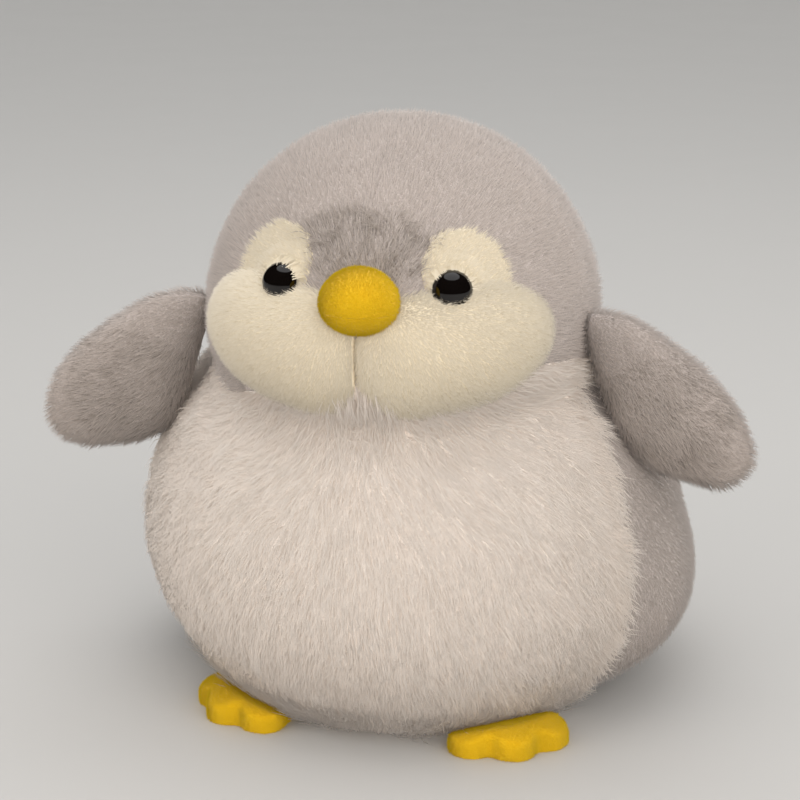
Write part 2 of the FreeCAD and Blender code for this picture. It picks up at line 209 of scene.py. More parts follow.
def only(piece):
    """Makes piece the one selected and active object."""
    deselect()
    piece.select_set(True)
    bpy.context.view_layer.objects.active = piece


def open_edit(piece, kind=None, action="SELECT"):
    """Opens a piece for editing with all or none of its points, edges or faces selected."""
    only(piece)
    bpy.ops.object.mode_set(mode="EDIT")
    if kind:
        bpy.ops.mesh.select_mode(type=kind)
    bpy.ops.mesh.select_all(action=action)


def named(piece, name):
    """Names a new piece and its mesh, and takes off any note that it was copied with."""
    piece.name = piece.data.name = name
    for key in list(piece.keys()):
        del piece[key]
    return piece


def use(piece, kind, **settings):
    """Adds a modifier with its settings and applies it."""
    only(piece)
    modifier = piece.modifiers.new(kind.title(), kind)
    for name, value in settings.items():
        setattr(modifier, name, value)
    bpy.ops.object.modifier_apply(modifier=modifier.name)


def copy_panels(name, nodes):
    """A new piece from copies of the pattern's panels, with their doubled points merged."""
    deselect()
    for node in nodes:
        frame["nodes"][node].hide_viewport = False
        frame["nodes"][node].select_set(True)
    bpy.context.view_layer.objects.active = frame["nodes"][nodes[0]]
    bpy.ops.object.duplicate()
    if len(nodes) > 1:
        bpy.ops.object.join()
    piece = named(bpy.context.object, name)
    bpy.ops.object.parent_clear(type="CLEAR_KEEP_TRANSFORM")
    open_edit(piece)
    bpy.ops.mesh.remove_doubles(threshold=0.01 * MM)
    close_edit()
    piece.data.materials.clear()
    return piece


def copy_piece(piece, name):
    only(piece)
    bpy.ops.object.duplicate()
    made = named(bpy.context.object, name)
    made.hide_render = False
    return made


def keep_side(piece, point, normal):
    """Cuts piece by a plane, keeps what lies behind the normal and closes the cut."""
    open_edit(piece)
    bpy.ops.mesh.bisect(plane_co=point, plane_no=normal, use_fill=True, clear_outer=True)
    close_edit()


def drop_faces(piece, unwanted):
    """Deletes the faces that unwanted(middle, normal) picks."""
    open_edit(piece, "FACE", "DESELECT")
    close_edit()
    for face in piece.data.polygons:
        face.select = unwanted(face.center, face.normal)
    bpy.ops.object.mode_set(mode="EDIT")
    bpy.ops.mesh.delete(type="FACE")
    close_edit()


def step(low, high, value):
    """0 below low, 1 above high and smooth between."""
    t = min(max((value - low) / (high - low), 0), 1)
    return t * t * (3 - 2 * t)


def round_the_body(point):
    """Angle round the upright axis from the middle of the belly, positive to the toy's left."""
    return math.remainder(math.atan2(point.x, -point.y) - BODY_TURN, math.tau)


def round_the_head(point):
    return math.atan2(point.x, -(point.y - HEAD_MIDDLE.y))


def face_way(turn, lift):
    """A direction turned to the toy's left of straight ahead, and lifted."""
    return Vector((math.sin(turn) * math.cos(lift), -math.cos(turn) * math.cos(lift), math.sin(lift)))


# ---------------------------------------------------------------- stuffing


CLOTH_FRAMES = 20  # enough for the stuffing to settle


def stuffed(piece, voxel, inset, swell, seam, smooth=4, halve=True):
    """Turns copied panels into one stuffed skin: remeshed, drawn in by the length of its pile, then blown up against
    its seams. inset(point) is how far a point is drawn in, seam(point) is 1 on a stitched line and 0 away from it, and
    swell caps how far the stuffing pushes a point."""
    use(piece, "REMESH", mode="VOXEL", voxel_size=voxel)
    use(piece, "SMOOTH", factor=0.5, iterations=smooth)
    mesh = piece.data
    normals = [point.normal.copy() for point in mesh.vertices]
    for point, normal in zip(mesh.vertices, normals):
        point.co -= normal * inset(point.co)
    use(piece, "SMOOTH", factor=0.5, iterations=2)
    held = piece.vertex_groups.new(name="held")
    for point in mesh.vertices:
        weight = seam(point.co)
        if weight > 0:
            held.add([point.index], weight, "REPLACE")
    before = [point.co.copy() for point in mesh.vertices]
    only(piece)
    cloth = piece.modifiers.new("Stuffing", "CLOTH")
    cloth.settings.quality = 5
    cloth.settings.mass = 0.3
    cloth.settings.tension_stiffness = cloth.settings.compression_stiffness = 15
    cloth.settings.bending_stiffness = 0.5
    cloth.settings.use_pressure = True
    cloth.settings.uniform_pressure_force = 4
    cloth.settings.vertex_group_mass = "held"
    cloth.settings.effector_weights.gravity = 0
    cloth.collision_settings.use_collision = False
    cloth.point_cache.frame_end = CLOTH_FRAMES
    scene = bpy.context.scene
    for number in range(1, CLOTH_FRAMES + 1):
        scene.frame_set(number)
    bpy.ops.object.modifier_apply(modifier=cloth.name)
    scene.frame_set(1)
    for point, start in zip(mesh.vertices, before):
        move = point.co - start
        if move.length > swell:
            point.co = start + move.normalized() * swell
    use(piece, "SMOOTH", factor=0.5, iterations=2)
    if halve:
        use(piece, "SUBSURF", levels=1, render_levels=1)
    only(piece)
    bpy.ops.object.shade_smooth()
    return piece


# ---------------------------------------------------------------- pile


def strand(name, length, width, bend, knees):
    """One tapered, bent strand that grows up Z and leans over to X, closed at its root."""
    deselect()
    bpy.ops.mesh.primitive_cone_add(
        vertices=3, radius1=width / 2, radius2=0, depth=length, end_fill_type="NGON", location=(0, 0, length / 2)
    )
    made = named(bpy.context.object, name)
    bpy.ops.object.transform_apply(location=True, rotation=True, scale=True)
    bpy.ops.object.mode_set(mode="EDIT")
    for share in knees:
        bpy.ops.mesh.select_all(action="SELECT")
        bpy.ops.mesh.bisect(plane_co=(0, 0, length * share), plane_no=(0, 0, 1))
    close_edit()
    along = made.data.attributes.new("along", "FLOAT", "POINT")
    across = made.data.attributes.new("across", "FLOAT", "POINT")
    for point in made.data.vertices:
        t = point.co.z / length
        along.data[point.index].value = t
        reach = max(point.co.xy.length, 1e-9)
        across.data[point.index].value = 0.5 if t > 0.99 else 0.5 + 0.5 * point.co.x / reach
        fuller = 1 + 0.6 * math.sin(math.pi * min(t * 1.4, 1))  # widest below the middle, as a lock of fibres
        point.co.x *= fuller
        point.co.y *= fuller
        turn = bend * t
        point.co.x += length * t * math.sin(turn * 0.7)
        point.co.z = length * t * math.cos(turn * 0.7)
    for layer in list(made.data.uv_layers):
        made.data.uv_layers.remove(layer)
    only(made)
    bpy.ops.object.shade_smooth()
    made.hide_render = made.hide_viewport = True


def strands():
    """Every kind of strand that the pile is planted with."""
    pile = bpy.context.scene.plush_pile
    kinds = (
        # name, length, width in millimetres, bend, and where it can bend along its length
        ("long_strand", pile.belly_pile, 0.48, 1.0, (0.45,)),
        ("hem_strand", pile.belly_pile * 1.35, 0.5, 0.7, (0.45,)),
        ("short_strand", pile.back_pile, 0.42, 0.0, ()),
        ("ruffled_strand", pile.ruffle, 0.36, 1.2, (0.45,)),
        ("sheared_strand", pile.cheek_pile, 0.4, 0.0, ()),
        ("rim_strand", 9 * MM, 0.5, 0.9, (0.45,)),
        ("nap_strand", pile.nap, 0.3, 0.0, ()),
    )
    for name, size, width, bend, knees in kinds:
        strand(name, size, width * MM, bend, knees)


PILE_INPUTS = {
    "Backing": "Geometry", "Strand": "Object", "Per square metre": "Float", "Comb": "Vector", "Parting": "Vector",
    "Part": "Float", "Lean": "Float", "Ruffle": "Float", "Ruffle size": "Float", "Lock size": "Float",
    "Lock pull": "Float", "Shortest": "Float", "Longest": "Float", "Seed": "Int",
}
MAP_CELLS = 150.0  # strands along one side of the square map
CELL_SHARE, CELL_MARGIN = 0.8, 0.1  # of a cell's width, so that neighbours never touch
TABLE_GAP = 0.3 * MM  # no strand hangs lower than this
STRAY = (0.22, 0.22, 0.22)  # how far a single strand may point its own way
SKIN_SHARE = 10.0  # how much of a strand's shading follows the skin under it


def pile_nodes():
    """The node group that plants, combs and clumps strands over a backing."""
    tree = bpy.data.node_groups.new("Pile", "GeometryNodeTree")
    for name, kind in PILE_INPUTS.items():
        tree.interface.new_socket(name, in_out="INPUT", socket_type="NodeSocket" + kind)
    tree.interface.new_socket("Pile", in_out="OUTPUT", socket_type="NodeSocketGeometry")
    given = put(tree, "NodeGroupInput").outputs
    num, vec, keep, read = (partial(kind, tree) for kind in (result, vector, stored, recalled))
    plant = put(
        tree, "GeometryNodeDistributePointsOnFaces",
        {"Mesh": given["Backing"], "Density": given["Per square metre"], "Seed": given["Seed"]},
        distribute_method="RANDOM",
    ).outputs
    normal = plant["Normal"]
    chance = put(tree, "FunctionNodeRandomValue", {"Seed": given["Seed"]}, data_type="FLOAT").outputs[1]
    points = keep(plant["Points"], "backing_normal", normal, "FLOAT_VECTOR")
    points = keep(points, "strand_number", put(tree, "GeometryNodeInputIndex").outputs[0])
    points = keep(points, "strand_tint", chance)
    place = put(tree, "GeometryNodeInputPosition").outputs[0]
    # Which way the pile lies: combed, parted from a point, ruffled in patches, and each strand a little its own way.
    away = vec("NORMALIZE", vec("SUBTRACT", place, given["Parting"]))
    comb = vec("ADD", given["Comb"], vec("SCALE", away, given["Part"]))
    scale = num("DIVIDE", 1.0, given["Ruffle size"])
    noise = {"Vector": place, "Scale": scale, "Detail": 2.0}
    wave = put(tree, "ShaderNodeTexNoise", noise, noise_dimensions="3D").outputs["Color"]
    wave = vec("SCALE", vec("SUBTRACT", wave, (0.5, 0.5, 0.5)), num("MULTIPLY", given["Ruffle"], 4.0))
    spread = {0: tuple(-part for part in STRAY), 1: STRAY, "Seed": 7}
    stray = put(tree, "FunctionNodeRandomValue", spread, data_type="FLOAT_VECTOR").outputs[0]
    comb = vec("ADD", vec("ADD", comb, wave), stray)
    flat = vec("SUBTRACT", comb, vec("SCALE", normal, vec("DOT_PRODUCT", comb, normal)))
    # Strands of one lock lean towards its middle.
    scale = num("DIVIDE", 1.0, given["Lock size"])
    cells = {"Vector": place, "Scale": scale}
    lock = put(tree, "ShaderNodeTexVoronoi", cells, voronoi_dimensions="3D").outputs["Position"]
    lock = vec("SCALE", vec("SUBTRACT", lock, place), given["Lock pull"])
    heading = vec("ADD", vec("ADD", normal, vec("SCALE", flat, given["Lean"])), lock)
    turn = put(
        tree, "FunctionNodeAxesToRotation", {"Primary Axis": heading, "Secondary Axis": flat},
        primary_axis="Z", secondary_axis="X",
    ).outputs[0]
    span = {2: given["Shortest"], 3: given["Longest"], "Seed": 3}
    size = put(tree, "FunctionNodeRandomValue", span, data_type="FLOAT").outputs[1]
    shape = put(tree, "GeometryNodeObjectInfo", {"Object": given["Strand"], "As Instance": True}).outputs["Geometry"]
    planted = {"Points": points, "Instance": shape, "Rotation": turn, "Scale": size}
    planted = put(tree, "GeometryNodeInstanceOnPoints", planted).outputs[0]
    whole = put(tree, "GeometryNodeRealizeInstances", {"Geometry": planted}).outputs[0]
    # Strands that would reach under the table lie flat on it.
    parts = put(tree, "ShaderNodeSeparateXYZ", {0: put(tree, "GeometryNodeInputPosition").outputs[0]}).outputs
    lifted = {0: parts["X"], 1: parts["Y"], 2: num("MAXIMUM", parts["Z"], TABLE_GAP)}
    lifted = put(tree, "ShaderNodeCombineXYZ", lifted).outputs[0]
    whole = put(tree, "GeometryNodeSetPosition", {"Geometry": whole, "Position": lifted}).outputs[0]
    # Each strand's own cell of a square map, its root at the bottom and its tip at the top.
    column = num("MODULO", read("strand_number"), MAP_CELLS)
    row = num("FLOOR", num("DIVIDE", read("strand_number"), MAP_CELLS))
    side = num("ADD", column, num("MULTIPLY_ADD", read("across"), CELL_SHARE, CELL_MARGIN))
    rise = num("ADD", row, num("MULTIPLY_ADD", read("along"), CELL_SHARE, CELL_MARGIN))
    cell = vec("SCALE", put(tree, "ShaderNodeCombineXYZ", {0: side, 1: rise}).outputs[0], 1 / MAP_CELLS)
    whole = keep(whole, "OFBake", cell, "FLOAT2", "CORNER")
    # The strands are shaded mostly as the skin that they stand on, which keeps the pile soft.
    own = put(tree, "GeometryNodeInputNormal").outputs[0]
    soft = vec("NORMALIZE", vec("ADD", vec("SCALE", read("backing_normal", "FLOAT_VECTOR"), SKIN_SHARE), own))
    shading = {"Mesh": whole, "Custom Normal": soft}
    whole = put(tree, "GeometryNodeSetMeshNormal", shading, mode="FREE", domain="POINT").outputs[0]
    for name in ("backing_normal", "strand_number", "across", "held"):
        whole = put(tree, "GeometryNodeRemoveAttribute", {"Geometry": whole, "Name": name}).outputs[0]
    put(tree, "NodeGroupOutput", {0: whole})
    return tree


def wear(piece, body):
    """Lets the piece ride on a body given by its name; for anything else it only bakes the piece's place into its mesh.
    """
    if isinstance(body, str):
        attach(piece, body)
    else:
        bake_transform(piece)


PILE_DEFAULTS = {
    "Comb": (0, 0, -1), "Parting": (0, 0, 0), "Part": 0.0, "Lean": 1.0, "Ruffle": 0.25, "Ruffle size": 0.02,
    "Lock size": 0.004, "Lock pull": 60.0, "Shortest": 0.7, "Longest": 1.15,
}


def grow(backing, name, material, body, slot, kind, density, bare=None, **wanted):
    """Plants strands of a kind, so many to a square metre, on a copy of a backing, as a piece that rides with it.
    bare(middle, normal) picks the faces without pile, and wanted gives the node group's other inputs, as ruffle_size
    for Ruffle size."""
    tree = bpy.data.node_groups.get("Pile") or pile_nodes()
    pile = copy_piece(backing, name)
    if bare:
        drop_faces(pile, bare)
    density *= bpy.context.scene.plush_pile.thickness * 1
    values = {**PILE_DEFAULTS, "Seed": len(name) * 31 + ord(name[-1]), "Per square metre": density}
    values["Strand"] = bpy.data.objects[kind + "_strand"]
    values.update({key.replace("_", " ").capitalize(): value for key, value in wanted.items()})
    modifier = pile.modifiers.new("Pile", "NODES")
    modifier.node_group = tree
    for item in tree.interface.items_tree:
        if item.in_out == "INPUT" and item.name in values:
            modifier[item.identifier] = values[item.name]
    only(pile)
    bpy.ops.object.modifier_apply(modifier=modifier.name)
    face_with(pile, material)
    pile.visible_shadow = name.endswith("locks")  # light soaks through smooth pile, but tousled locks shade each other
    wear(pile, body)
    return pile


# ---------------------------------------------------------------- materials


def empty_material(name):
    """A new material, its node tree, and the place on the object as that tree's first value."""
    material = bpy.data.materials.new(name)
    material.use_nodes = True
    tree = material.node_tree
    tree.nodes.clear()
    return material, tree, put(tree, "ShaderNodeTexCoord").outputs["Object"]


def clouds(tree, place, scale, detail):
    """A drift from 0 to 1 over the object."""
    return put(tree, "ShaderNodeTexNoise", {"Vector": place, "Scale": scale, "Detail": detail}).outputs["Fac"]


def ranged(tree, value, start, end, least, most):
    """A value from start to end brought to least to most, and held there beyond them."""
    return put(tree, "ShaderNodeMapRange", {0: value, 1: start, 2: end, 3: least, 4: most}).outputs[0]


def coat(tree, shader, end=True):
    """A plain surface from its shader values, which ends the material unless it is still to be mixed."""
    surface = put(tree, "ShaderNodeBsdfPrincipled", shader).outputs[0]
    if end:
        put(tree, "ShaderNodeOutputMaterial", {"Surface": surface})
    return surface


def plush(name, tip, root, drift=0.06, sheen=0.3, through=0.4):
    """Polyester plush pile: matt fibres, paler and clearer at their tips, with the darker roots painted in as shade
    deep in the pile, a soft sheen at grazing angles, and a slow drift of shade where the pile lies a different way."""
    material, tree, place = empty_material(name)
    along, tint = (
        put(tree, "ShaderNodeAttribute", attribute_name=each, attribute_type="GEOMETRY").outputs["Fac"]
        for each in ("along", "strand_tint")
    )
    # Painted shade: each strand's colour darkens from its tip towards its root, as shade deep in the pile.
    rise = ranged(tree, along, 0.0, 0.75, 0.0, 1.0)
    base = put(tree, "ShaderNodeMix", {0: rise, 6: linear(root), 7: linear(tip)}, data_type="RGBA").outputs[2]
    # Patches about 25 mm wide where the pile was brushed another way.
    shade = result(tree, "ADD", clouds(tree, place, 40.0, 3.0), tint)
    base = vector(tree, "SCALE", base, ranged(tree, shade, 0.3, 1.7, 1 - drift, 1 + drift))
    fibre = {
        "Base Color": base, "Roughness": 0.9, "Sheen Weight": sheen, "Sheen Roughness": 0.45,
        "IOR": 1.5, "Specular IOR Level": 0.15,
    }
    surface = coat(tree, fibre, end=not through)
    if through:
        glow = put(tree, "ShaderNodeBsdfTranslucent", {"Color": base}).outputs[0]
        surface = put(tree, "ShaderNodeMixShader", {0: through, 1: surface, 2: glow}).outputs[0]
        put(tree, "ShaderNodeOutputMaterial", {"Surface": surface})
    return material


def knit(name, code, spacing=0.0011, rough=0.95):
    """The knitted backing under the pile: dull, with loops about a millimetre apart."""
    material, tree, place = empty_material(name)
    loops = put(tree, "ShaderNodeTexVoronoi", {"Vector": place, "Scale": 1 / spacing}).outputs["Distance"]
    shade = ranged(tree, clouds(tree, place, 60.0, 4.0), 0.3, 0.7, 0.92, 1.04)
    base = vector(tree, "SCALE", linear(code)[:3], shade)
    bump = put(tree, "ShaderNodeBump", {"Strength": 0.5, "Distance": 0.4 * MM, "Height": loops}).outputs[0]
    coat(tree, {"Base Color": base, "Roughness": rough, "Sheen Weight": 0.2, "Sheen Roughness": 0.5, "Normal": bump})
    return material


def smooth_surface(name, code, scale, detail, glossy, dull, more):
    """A smooth surface whose gloss drifts between two roughnesses."""
    material, tree, place = empty_material(name)
    rough = ranged(tree, clouds(tree, place, scale, detail), 0.0, 1.0, glossy, dull)
    coat(tree, {"Base Color": linear(code), "Roughness": rough, **more})
    return material


def eye_plastic(name):
    """Polished black plastic with the faint haze of handling."""
    return smooth_surface(name, bpy.context.scene.plush_colours.eye, 300.0, 3.0, 0.04, 0.10, {"IOR": 1.5})


def washer_plastic(name):
    """Moulded polyethylene: milky, satin, with flow marks."""
    return smooth_surface(name, "#EDEBE6", 200.0, 2.0, 0.35, 0.5, {"IOR": 1.51})


def table_lacquer(name):
    """Painted table top: pale, faintly uneven satin lacquer."""
    code = bpy.context.scene.plush_stage.table
    return smooth_surface(name, code, 6.0, 4.0, 0.45, 0.6, {"Specular IOR Level": 0.3})


def face_with(piece, material):
    """Makes a material the piece's only one."""
    piece.data.materials.clear()
    piece.data.materials.append(material)


def finish_piece(piece, material, body, slot, *nodes, fill=None):
    """Gives a piece its finish and its body, and hides the pattern's parts that it stands for."""
    face_with(piece, material)
    wear(piece, body)
    if nodes:
        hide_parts(*nodes)


def made_once(name, make):
    """A material by its name, made the first time it is asked for."""
    return bpy.data.materials.get(name) or make(name)


def finishes():
    """Every plush and backing finish, by a short name."""
    c = bpy.context.scene.plush_colours
    return {
        # Long white polyester pile: bright, with warm shade between the locks.
        "white pile": made_once("White long pile polyester", lambda n: plush(n, c.white, "#F8ECE0", 0.03, 0.3, 0.5)),
        # Grey short pile: dense and soft, with darker roots painted in as shade deep in the pile, which shows where it
        # is ruffled.
        "grey pile": made_once("Grey short pile polyester", lambda n: plush(n, c.grey, "#C4B9B0", 0.07)),
        # The same grey pile where it is tousled, coloured darker than the rest and darkest at the roots, as painted
        # shade among the locks.
        "ruffled pile": made_once("Grey tousled pile polyester", lambda n: plush(n, "#CFC3B8", "#9C8F84", 0.12, 0.2)),
        # Cream pile sheared short: smooth and even, its roots a little darker as painted shade.
        "cream pile": made_once("Cream sheared polyester", lambda n: plush(n, c.cream, "#DBCDAF", 0.03, 0.15, 0.12)),
        # Yellow cropped nap: almost a felt, saturated, with a soft bloom, its roots darker as painted shade.
        "yellow nap": made_once("Yellow cropped nap", lambda n: plush(n, c.yellow, "#D2A812", 0.04, 0.0, 0.0)),
        "white knit": made_once("White knitted backing", lambda n: knit(n, "#F0E4D8")),
        "grey knit": made_once("Grey knitted backing", lambda n: knit(n, "#B0A59E")),
        "cream knit": made_once("Cream knitted backing", lambda n: knit(n, "#F2E4C8")),
        "yellow knit": made_once("Yellow knitted backing", lambda n: knit(n, "#D8AE10", 0.0009)),
        # Non-woven base cloth: flat, pressed fibres.
        "base cloth": made_once("Grey base cloth", lambda n: knit(n, "#A39890", 0.0016, 0.85)),
    }


# ---------------------------------------------------------------- seams


def near(distance, width=0.006):
    """1 on a seam and 0 a seam's width away."""
    return max(0.0, 1 - abs(distance) / width) ** 1.5


def trunk_seam(point):
    """How close a point of the body and head is to a stitched line."""
    above = (point - NECK_POINT).dot(NECK_AXIS)
    front = abs(round_the_body(point)) < SIDE_SEAM
    weight = near(above, 0.009) * (0.15 if front else 1)
    if above < 0:
        around = round_the_body(point)
        out = Vector((point.x, point.y)).length
        weight = max(weight, near((abs(around) - SIDE_SEAM) * out, 0.005))
        if point.y > 0.03:
            weight = max(weight, near(math.sin(around) * out, 0.004))
        weight = max(weight, near(point.z - 0.004, 0.007))
    else:
        around = round_the_head(point)
        out = Vector((point.x, point.y - HEAD_MIDDLE.y)).length
        if (point - CHIN_POINT).dot(CHIN_UP) > 0:
            weight = max(weight, 0.8 * near(point.x, 0.0035))
            weight = max(weight, 0.8 * near((abs(around) - HEAD_SEAM) * out, 0.004))
    return min(weight, 1.0)


def trunk():
    """The stuffed body and head as one skin, before it is parted along its seams."""
    made = bpy.data.objects.get("trunk_form")
    if made:
        return made
    made = copy_panels(
        "trunk_form",
        ["body_stuffing", "belly_panel", "back_panel_left", "back_panel_right", "base_panel",
         "head_stuffing", "head_front_left", "head_front_right", "head_back_left", "head_back_right"],
    )
    use(made, "REMESH", mode="VOXEL", voxel_size=0.004)
    for point in made.data.vertices:
        around = abs(round_the_body(point.co))
        # The stuffing sits low behind, so the hips hang fuller than the round above them.
        low = step(0.004, 0.03, point.co.z) * (1 - step(0.04, 0.1, point.co.z))
        hips = low * step(math.radians(62), math.radians(88), around) * 0.012
        out = Vector((point.co.x, point.co.y, 0))
        if out.length > 0.05:
            point.co += out.normalized() * hips

    def pile_depth(point):
        """The belly's pile is long, the rest is short, and the lower edge reaches the table."""
        front = 1 - step(SIDE_SEAM - 0.12, SIDE_SEAM + 0.08, abs(round_the_body(point)))
        under_neck = 1 - step(-0.006, 0.006, (point - NECK_POINT).dot(NECK_AXIS))
        depth = 0.0025 + 0.0025 * front * under_neck
        return 0.001 + (depth - 0.001) * step(0.004, 0.03, point.z)

    stuffed(made, 0.005, pile_depth, 0.0035, trunk_seam)
    lowest = min(point.co.z for point in made.data.vertices)
    for point in made.data.vertices:
        point.co.z -= (lowest - 0.0012) * (1 - step(0.0, 0.03, point.co.z))
    made.hide_render = True
    return made


def wedge(name, low, high, above=False):
    """The part of the trunk between two upright half-planes, given as angles round the body."""
    piece = copy_piece(trunk(), name)
    keep_side(piece, NECK_POINT, NECK_AXIS * (-1 if above else 1))
    middle = HEAD_MIDDLE if above else Vector()
    turn = 0 if above else BODY_TURN
    for angle, side in ((low, -1), (high, 1)):
        a = angle + turn
        # The normal of the upright plane at this angle, on the side to cut away.
        keep_side(piece, middle, Vector((math.cos(a), math.sin(a), 0)) * side)
    return piece


# ---------------------------------------------------------------- operators


class PLUSH_OT_body(bpy.types.Operator):
    """Stuffs the body and covers it: long white pile on the belly, grey pile on the back and a plain cloth base"""

    bl_idname = "plush.body"
    bl_label = "Body"

    def execute(self, context):
        f = finishes()
        belly = wedge("belly", -SIDE_SEAM, SIDE_SEAM)
        left = wedge("back_left", SIDE_SEAM, math.pi)
        right = wedge("back_right", -math.pi, -SIDE_SEAM)
        chin = copy_piece(trunk(), "chin")
        keep_side(chin, NECK_POINT, -NECK_AXIS)
        keep_side(chin, CHIN_POINT, CHIN_UP)
        base = copy_panels("base", ["base_panel"])
        for point in base.data.vertices:
            point.co.x *= 0.97
            point.co.y *= 0.97
        use(base, "BEVEL", width=0.0008, segments=2, limit_method="ANGLE")
        strands()
        finish_piece(belly, f["white knit"], "body", "white_plush", "belly_panel", "body_stuffing", fill=0.85)
        finish_piece(chin, f["white knit"], "body", "white_plush", "chin_panel", fill=0.8)
        finish_piece(left, f["grey knit"], "body", "grey_plush", "back_panel_left", fill=0.85)
        finish_piece(right, f["grey knit"], "body", "grey_plush", "back_panel_right", fill=0.85)
        finish_piece(base, f["base cloth"], "body", "grey_underside", "base_panel")
        white = (f["white pile"], "body", "white_plush")
        long = dict(
            parting=(-0.012, -0.17, 0.19), part=0.9, comb=(0, 0, -0.5), lean=0.95, ruffle=0.42, ruffle_size=0.022,
            lock_size=0.008, lock_pull=35.0, shortest=0.55, longest=1.2,
        )
        for number in range(4):
            hair = grow(belly, f"belly_pile_{number + 1}", *white, "long", 2.3e5, self.hidden, **long, seed=11 + number)
            hair.visible_diffuse = number > 1  # half of the fibres let the room's light through too
        # Where the belly meets the table its pile is pushed out flat.
        flat = {**long, "parting": (0, 0, 0.01), "part": 1.0, "comb": (0, 0, 0), "lean": 2.1}
        grow(belly, "belly_fringe", *white, "hem", 1.1e6, lambda m, n: self.hidden(m, n) or m.z > FRINGE_TOP, **flat)
        # At the side seams the long white pile falls back over the short grey one.
        for side, way in (("left", 1), ("right", -1)):
            a = BODY_TURN + way * SIDE_SEAM
            back = (way * math.cos(a) * 0.6, way * math.sin(a) * 0.6, -0.6)
            grow(
                belly, f"belly_edge_{side}", *white, "long", 8e5,
                lambda m, n: self.hidden(m, n) or way * round_the_body(m) < SIDE_SEAM - EDGE_BAND,
                **{**long, "part": 0.0, "lean": 1.1, "comb": back},
            )
        grow(chin, "chin_pile", *white, "long", 8.5e5, self.hidden, **{**long, "comb": (0, 0, 0), "lean": 0.8})
        for piece in (left, right):
            grow(
                piece, piece.name + "_pile", f["grey pile"], "body", "grey_plush", "short", 6.5e5, self.hidden,
                comb=(0, 0.3, -1), lean=1.8, ruffle=0.2,
            )
        return {"FINISHED"}

    @staticmethod
    def hidden(middle, normal):
        """The cut faces inside the toy, and what it sits on."""
        if middle.z < 0.0025:
            return True
        at_neck = abs((middle - NECK_POINT).dot(NECK_AXIS)) < 0.0008 and abs(normal.dot(NECK_AXIS)) > 0.95
        upright = abs(normal.z) < 0.02 and abs(normal.dot(Vector((middle.x, middle.y, 0)).normalized())) < 0.3
        chin_top = abs((middle - CHIN_POINT).dot(CHIN_UP)) < 0.0004 and abs(normal.dot(CHIN_UP)) > 0.98
        return at_neck or upright or chin_top


class PLUSH_OT_head(bpy.types.Operator):
    """Covers the stuffed head with four panels of grey pile, let in round the eye patches"""

    bl_idname = "plush.head"
    bl_label = "Head"

    def execute(self, context):
        f = finishes()
        spans = (
            ("head_front_left", 0, HEAD_SEAM),
            ("head_front_right", -HEAD_SEAM, 0),
            ("head_back_left", HEAD_SEAM, math.pi),
            ("head_back_right", -math.pi, -HEAD_SEAM),
        )
        for node, low, high in spans:
            piece = wedge(node + "_skin", low, high, above=True)
            keep_side(piece, CHIN_POINT, -CHIN_UP)
            stands_for = [node] + (["head_stuffing"] if node == "head_front_left" else [])
            finish_piece(piece, f["grey knit"], "body", "grey_plush", *stands_for, fill=0.9)
            density = 1.05e6 if "front" in node else 6.5e5
            parting = tuple(BEAK_MIDDLE + Vector((0, 0.01, -0.012)))
            grow(
                piece, node + "_pile", f["grey pile"], "body", "grey_plush", "short", density, self.hidden,
                comb=(0, 0, 0.1), parting=parting, part=1.0, lean=1.8, ruffle=0.2,
            )
            if "front" in node:
                grow(
                    piece, node.replace("head_front", "brow") + "_locks", f["ruffled pile"], "body", "grey_plush",
                    "ruffled", 4e5, self.off_brow, comb=(0, 0, 0.3), lean=1.4, ruffle=1.1,
                    ruffle_size=0.012, lock_pull=110.0, lock_size=0.005,
                )
        return {"FINISHED"}

    @classmethod
    def off_brow(cls, middle, normal):
        """All but the tousled place just above the beak, between the eyes."""
        reach = Vector((middle.x / 0.031, (middle.z - 0.232) / 0.015)).length
        return reach > 1 or cls.hidden(middle, normal)

    @staticmethod
    def hidden(middle, normal):
        """The cut faces inside, the eye patches and what lies under the cheeks."""
        out = middle - HEAD_MIDDLE
        aside = min(out.cross(face_way(PATCH_TURN * side, PATCH_LIFT)).length for side in (1, -1))
        inside = normal.dot(out.normalized()) < 0.35
        patch = aside < PATCH_RADIUS - 1 * MM and out.y < 0
        return inside or patch or (out.y < -0.04 and middle.z < 0.2 and abs(middle.x) < 0.06)


